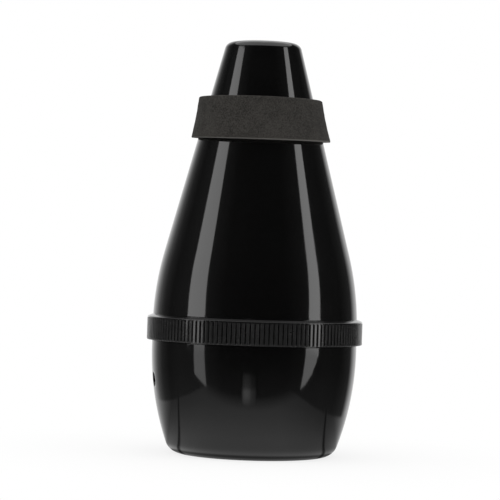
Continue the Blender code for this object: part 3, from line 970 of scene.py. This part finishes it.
def makeFloor():
    # Painted board: matt and pale, so that it looks the same from every side
    material, tree = newMaterial("paintedTableBoard")
    place = addNode(tree, "ShaderNodeTexCoord").outputs["Object"]
    path = addNode(tree, "ShaderNodeLightPath").outputs
    at = addNode(tree, "ShaderNodeSeparateXYZ", {"Vector": place}).outputs
    reach = addNode(tree, "ShaderNodeVectorMath", {0: place}, operation="LENGTH").outputs["Value"]
    pale = addNode(tree, "ShaderNodeBsdfDiffuse", {"Color": hexToLinear(studio["floorTone"])})

    # the camera sees it white, and shaded near the mute
    plain = addNode(tree, "ShaderNodeEmission", {"Color": white, "Strength": 1})
    far = addNode(tree, "ShaderNodeMapRange", {
        "Value": reach,
        "From Min": studio["shadowFrom"],
        "From Max": studio["shadowReach"],
        "To Min": 1 - studio["shadow"],
        "To Max": 1,
    })
    seen = addNode(tree, "ShaderNodeMixShader", {
        0: far.outputs["Result"],
        1: pale.outputs["BSDF"],
        2: plain.outputs["Emission"],
    })

    # the gloss mirrors the table as a glow with painted light and shade: it gets darker away from the mute,
    # away from its light and along a thin dark line
    away = addNode(tree, "ShaderNodeMath", {0: reach, 1: table["reach"]}, operation="DIVIDE")
    tone = addNode(tree, "ShaderNodeValToRGB", {"Fac": away.outputs["Value"]})
    rampStops(tone, [(distance * mm / table["reach"], level) for distance, level in paintedTableLight])
    forward = addNode(tree, "ShaderNodeVectorMath", {0: place, 1: table["litFrom"]}, operation="DOT_PRODUCT")
    share = addNode(tree, "ShaderNodeMath", {0: forward.outputs["Value"], 1: reach}, operation="DIVIDE")
    lit = addNode(tree, "ShaderNodeMapRange", {
        "Value": share.outputs["Value"],
        "From Min": table["litShares"][0],
        "From Max": table["litShares"][1],
        "To Min": table["dimmest"],
    })
    offDarkLine = addNode(tree, "ShaderNodeMath", {0: at["Y"], 1: table["joint"]}, operation="SUBTRACT")
    beside = addNode(tree, "ShaderNodeMath", {0: offDarkLine.outputs["Value"]}, operation="ABSOLUTE")
    joint = addNode(tree, "ShaderNodeMapRange", {
        "Value": beside.outputs["Value"],
        "From Min": table["darkLineSides"][0],
        "From Max": table["darkLineSides"][1],
        "To Min": table["darkLineTone"],
    })
    shade = addNode(tree, "ShaderNodeMath", {
        0: lit.outputs["Result"],
        1: joint.outputs["Result"],
    }, operation="MULTIPLY")
    near = addNode(tree, "ShaderNodeMath", {
        0: tone.outputs["Color"],
        1: shade.outputs["Value"],
    }, operation="MULTIPLY")

    # behind the mute it is painted as lit from the back, and darkened close to the mute by a painted contact
    # shadow
    toward = addNode(tree, "ShaderNodeMath", {0: at["Y"], 1: reach}, operation="DIVIDE")
    behind = addNode(tree, "ShaderNodeValToRGB", {"Fac": toward.outputs["Value"]})
    rampStops(behind, tableBehind)
    contactShadow = addNode(tree, "ShaderNodeMapRange", {
        "Value": reach,
        "From Min": table["contactShadow"][0],
        "From Max": table["contactShadow"][1],
    })
    back = addNode(tree, "ShaderNodeMath", {
        0: behind.outputs["Color"],
        1: contactShadow.outputs["Result"],
    }, operation="MULTIPLY")
    level = addNode(tree, "ShaderNodeMath", {
        0: near.outputs["Value"],
        1: back.outputs["Value"],
    }, operation="MAXIMUM")
    # painted light and shade: the mirrored table is a glow whose strength stands in for how it is lit
    board = addNode(tree, "ShaderNodeEmission", {"Color": white, "Strength": level.outputs["Value"]})

    # past the table's edges the gloss mirrors what lies below
    inside = 1
    for axis, end, whole in table["edges"]:
        edge = addNode(tree, "ShaderNodeMapRange", {"Value": at[axis], "From Min": end, "From Max": whole})
        inside = addNode(tree, "ShaderNodeMath", {
            0: inside,
            1: edge.outputs["Result"],
        }, operation="MULTIPLY").outputs["Value"]
    clear = addNode(tree, "ShaderNodeBsdfTransparent")
    mirrored = addNode(tree, "ShaderNodeMixShader", {
        0: inside,
        1: clear.outputs["BSDF"],
        2: board.outputs["Emission"],
    })
    unseen = addNode(tree, "ShaderNodeMixShader", {
        0: path["Is Glossy Ray"],
        1: pale.outputs["BSDF"],
        2: mirrored.outputs["Shader"],
    })
    both = addNode(tree, "ShaderNodeMixShader", {
        0: path["Is Camera Ray"],
        1: unseen.outputs["Shader"],
        2: seen.outputs["Shader"],
    })
    addNode(tree, "ShaderNodeOutputMaterial", {"Surface": both.outputs["Shader"]})
    return material


def addStage(name, bm, material, mirroredOnly=False):
    mesh = bpy.data.meshes.new(name)
    bm.to_mesh(mesh)
    bm.free()
    mesh.materials.append(material)
    stand = bpy.data.objects.new(name, mesh)
    bpy.context.collection.objects.link(stand)
    if mirroredOnly:
        stand.visible_camera = stand.visible_diffuse = False
        stand.visible_shadow = stand.visible_transmission = False


bm = bmesh.new()
bmesh.ops.create_grid(bm, x_segments=1, y_segments=1, size=studio["floorSize"] / 2)
addStage("studioFloor", bm, makeFloor())

# What the gloss mirrors all round, by bearing from the camera in degrees, left negative
surround = [
    (-180, 1.0), (-158, 0.92), (-148, 0.66), (-138, 0.3), (-126, 0.11), (-110, 0.05), (-92, 0.1), (-60, 0.11),
    (-36, 0.035), (0, 0.024), (36, 0.025), (60, 0.07), (88, 0.065), (112, 0.035), (138, 0.08), (146, 0.6),
    (152, 0.88), (180, 1.0),
]
# What it mirrors downwards is a little paler, between these upward parts of the direction
underneath = {"from": -0.12, "to": -0.32, "added": 0.06}

world = bpy.data.worlds.new("studioSurround")
bpy.context.scene.world = world
world.use_nodes = True
sky = world.node_tree
sky.nodes.clear()
path = addNode(sky, "ShaderNodeLightPath").outputs
aim = addNode(sky, "ShaderNodeTexCoord")
parts = addNode(sky, "ShaderNodeSeparateXYZ", {"Vector": aim.outputs["Generated"]}).outputs
toCamera = addNode(sky, "ShaderNodeMath", {0: parts["Y"], 1: -1}, operation="MULTIPLY")
bearing = addNode(sky, "ShaderNodeMath", {0: parts["X"], 1: toCamera.outputs["Value"]}, operation="ARCTAN2")
turn = addNode(sky, "ShaderNodeMapRange", {
    "Value": bearing.outputs["Value"],
    "From Min": -math.pi,
    "From Max": math.pi,
})
walls = addNode(sky, "ShaderNodeValToRGB", {"Fac": turn.outputs["Result"]})
rampStops(walls, [((degrees + 180) / 360, level) for degrees, level in surround])
below = addNode(sky, "ShaderNodeMapRange", {
    "Value": parts["Z"],
    "From Min": underneath["from"],
    "From Max": underneath["to"],
    "To Max": underneath["added"],
})
wallTone = addNode(sky, "ShaderNodeMath", {
    0: walls.outputs["Color"],
    1: below.outputs["Result"],
}, operation="ADD")
mirrored = addNode(sky, "ShaderNodeBackground", {"Color": wallTone.outputs["Value"], "Strength": 1})
ambient = addNode(sky, "ShaderNodeBackground", {"Color": white, "Strength": studio["ambient"]})
seen = addNode(sky, "ShaderNodeBackground", {"Color": white, "Strength": 1})
unseen = addNode(sky, "ShaderNodeMixShader", {
    0: path["Is Glossy Ray"],
    1: ambient.outputs["Background"],
    2: mirrored.outputs["Background"],
})
surroundings = addNode(sky, "ShaderNodeMixShader", {
    0: path["Is Camera Ray"],
    1: unseen.outputs["Shader"],
    2: seen.outputs["Background"],
})
addNode(sky, "ShaderNodeOutputWorld", {"Surface": surroundings.outputs["Shader"]})

# Softboxes left and right, whose long reflections run down the body, and an oval one overhead that draws
# the line along the mouth. Bearing and lean are in degrees, and radiance is what a mirror would show.
standOff = 1.3  # of the softboxes and cards, from the mute's axis
lamps = {
    "leftStrip": {
        "bearing": -71.0,
        "width": 0.528,
        "low": 0.03,
        "high": 0.95,
        "lean": 9.2,
        "radiance": 2.5,
    },
    "rightStrip": {
        "bearing": 71.7,
        "width": 0.34,
        "low": -0.02,
        "high": 0.95,
        "lean": -10.5,
        "radiance": 2.85,
    },
}
overhead = {"width": 2.9, "length": 2.4, "height": 1.25, "radiance": 1.4}


def addLamp(name, shape, size, radiance, place):
    area = size[0] * size[1] * (math.pi / 4 if shape == "ELLIPSE" else 1)
    lamp = bpy.data.lights.new(name, "AREA")
    lamp.shape = shape
    lamp.size, lamp.size_y = size
    lamp.energy = radiance * math.pi * area
    holder = bpy.data.objects.new(name, lamp)
    bpy.context.collection.objects.link(holder)
    holder.matrix_world = place
    holder.visible_camera = False


def standAt(bearing, height):
    turn = math.radians(bearing)
    return Vector((standOff * math.sin(turn), -standOff * math.cos(turn), height))


for name, look in lamps.items():
    middle = standAt(look["bearing"], (look["low"] + look["high"]) / 2)
    facing = Vector((-middle.x, -middle.y, 0)).to_track_quat("-Z", "Y").to_matrix().to_4x4()
    place = Matrix.Translation(middle) @ facing @ Matrix.Rotation(math.radians(look["lean"]), 4, "Z")
    addLamp(name, "RECTANGLE", (look["width"], look["high"] - look["low"]), look["radiance"], place)
overheadSize = (overhead["width"], overhead["length"])
overheadPlace = Matrix.Translation((0, 0, overhead["height"]))
addLamp("overheadBox", "ELLIPSE", overheadSize, overhead["radiance"], overheadPlace)

# White cards from the table's level downwards, which only the gloss mirrors. Corners are (bearing, height).
cards = {
    "leftNeck": {
        "radiance": 2.2,
        "corners": [(-69.8, 0.03), (-56.2, 0.03), (-56.2, -0.014), (-69.8, -0.014)],
    },
    "leftFoot": {
        "radiance": 1.45,
        "corners": [(-69.8, -0.014), (-56.2, -0.014), (-54.5, -0.336), (-69.2, -0.205)],
    },
    "rightNeck": {
        "radiance": 2.8,
        "corners": [(58.9, 0.03), (74.6, -0.005), (74.6, -0.02), (58.6, -0.012)],
    },
    "rightFoot": {
        "radiance": 1.8,
        "corners": [
            (58.6, -0.012), (74.6, -0.02), (73.1, -0.08), (68.1, -0.18), (61, -0.28), (55.4, -0.33),
        ],
    },
    "frontGlow": {
        # its light changes from left to right and from its foot to its top
        "across": [(0, 0), (0.12, 0.8), (0.3, 1), (0.5, 0.8), (0.62, 0.45), (0.85, 0.3), (1, 0)],
        "upward": [(0, 0), (0.12, 0.9), (0.45, 1), (0.58, 0.4), (0.88, 0.25), (1, 0)],
        "corners": [(-13, -0.19), (5, -0.19), (5, -0.57), (-13, -0.57)],
    },
}


def makeCardLight(name, look):
    # Lit white card: plain and even, or fading towards its edges
    material, tree = newMaterial(name)
    if "radiance" in look:
        strength = look["radiance"]
    else:
        place = addNode(tree, "ShaderNodeTexCoord")
        at = addNode(tree, "ShaderNodeSeparateXYZ", {"Vector": place.outputs["Generated"]})
        across = addNode(tree, "ShaderNodeValToRGB", {"Fac": at.outputs["X"]})
        rampStops(across, look["across"])
        upward = addNode(tree, "ShaderNodeValToRGB", {"Fac": at.outputs["Z"]})
        rampStops(upward, look["upward"])
        strength = addNode(tree, "ShaderNodeMath", {
            0: across.outputs["Color"],
            1: upward.outputs["Color"],
        }, operation="MULTIPLY").outputs["Value"]
    glow = addNode(tree, "ShaderNodeEmission", {"Color": white, "Strength": strength})
    addNode(tree, "ShaderNodeOutputMaterial", {"Surface": glow.outputs["Emission"]})
    return material


for name, look in cards.items():
    bm = bmesh.new()
    bm.faces.new([bm.verts.new(standAt(bearing, height)) for bearing, height in look["corners"]])
    addStage(name, bm, makeCardLight(name, look), mirroredOnly=True)
print("studio made")

# Camera, level and rolled a little, so that the mute leans right as in the photograph
view = {
    "distance": 0.81,
    "centreHeight": 75.4 * mm,
    "side": -2.65 * mm,
    "roll": math.radians(1.8),
    "acrossAngle": math.radians(13.03),
    "nearest": 0.01,
}
cameraData = bpy.data.cameras.new("photoCamera")
cameraData.sensor_fit = "HORIZONTAL"
cameraData.angle = view["acrossAngle"]
cameraData.clip_start = view["nearest"]
camera = bpy.data.objects.new("photoCamera", cameraData)
bpy.context.collection.objects.link(camera)
camera.matrix_world = (
    Matrix.Translation((view["side"], -view["distance"], view["centreHeight"]))
    @ Matrix.Rotation(math.pi / 2, 4, "X")
    @ Matrix.Rotation(view["roll"], 4, "Z")
)
bpy.context.scene.camera = camera
bpy.context.scene.view_settings.view_transform = "Standard"
print("camera placed")
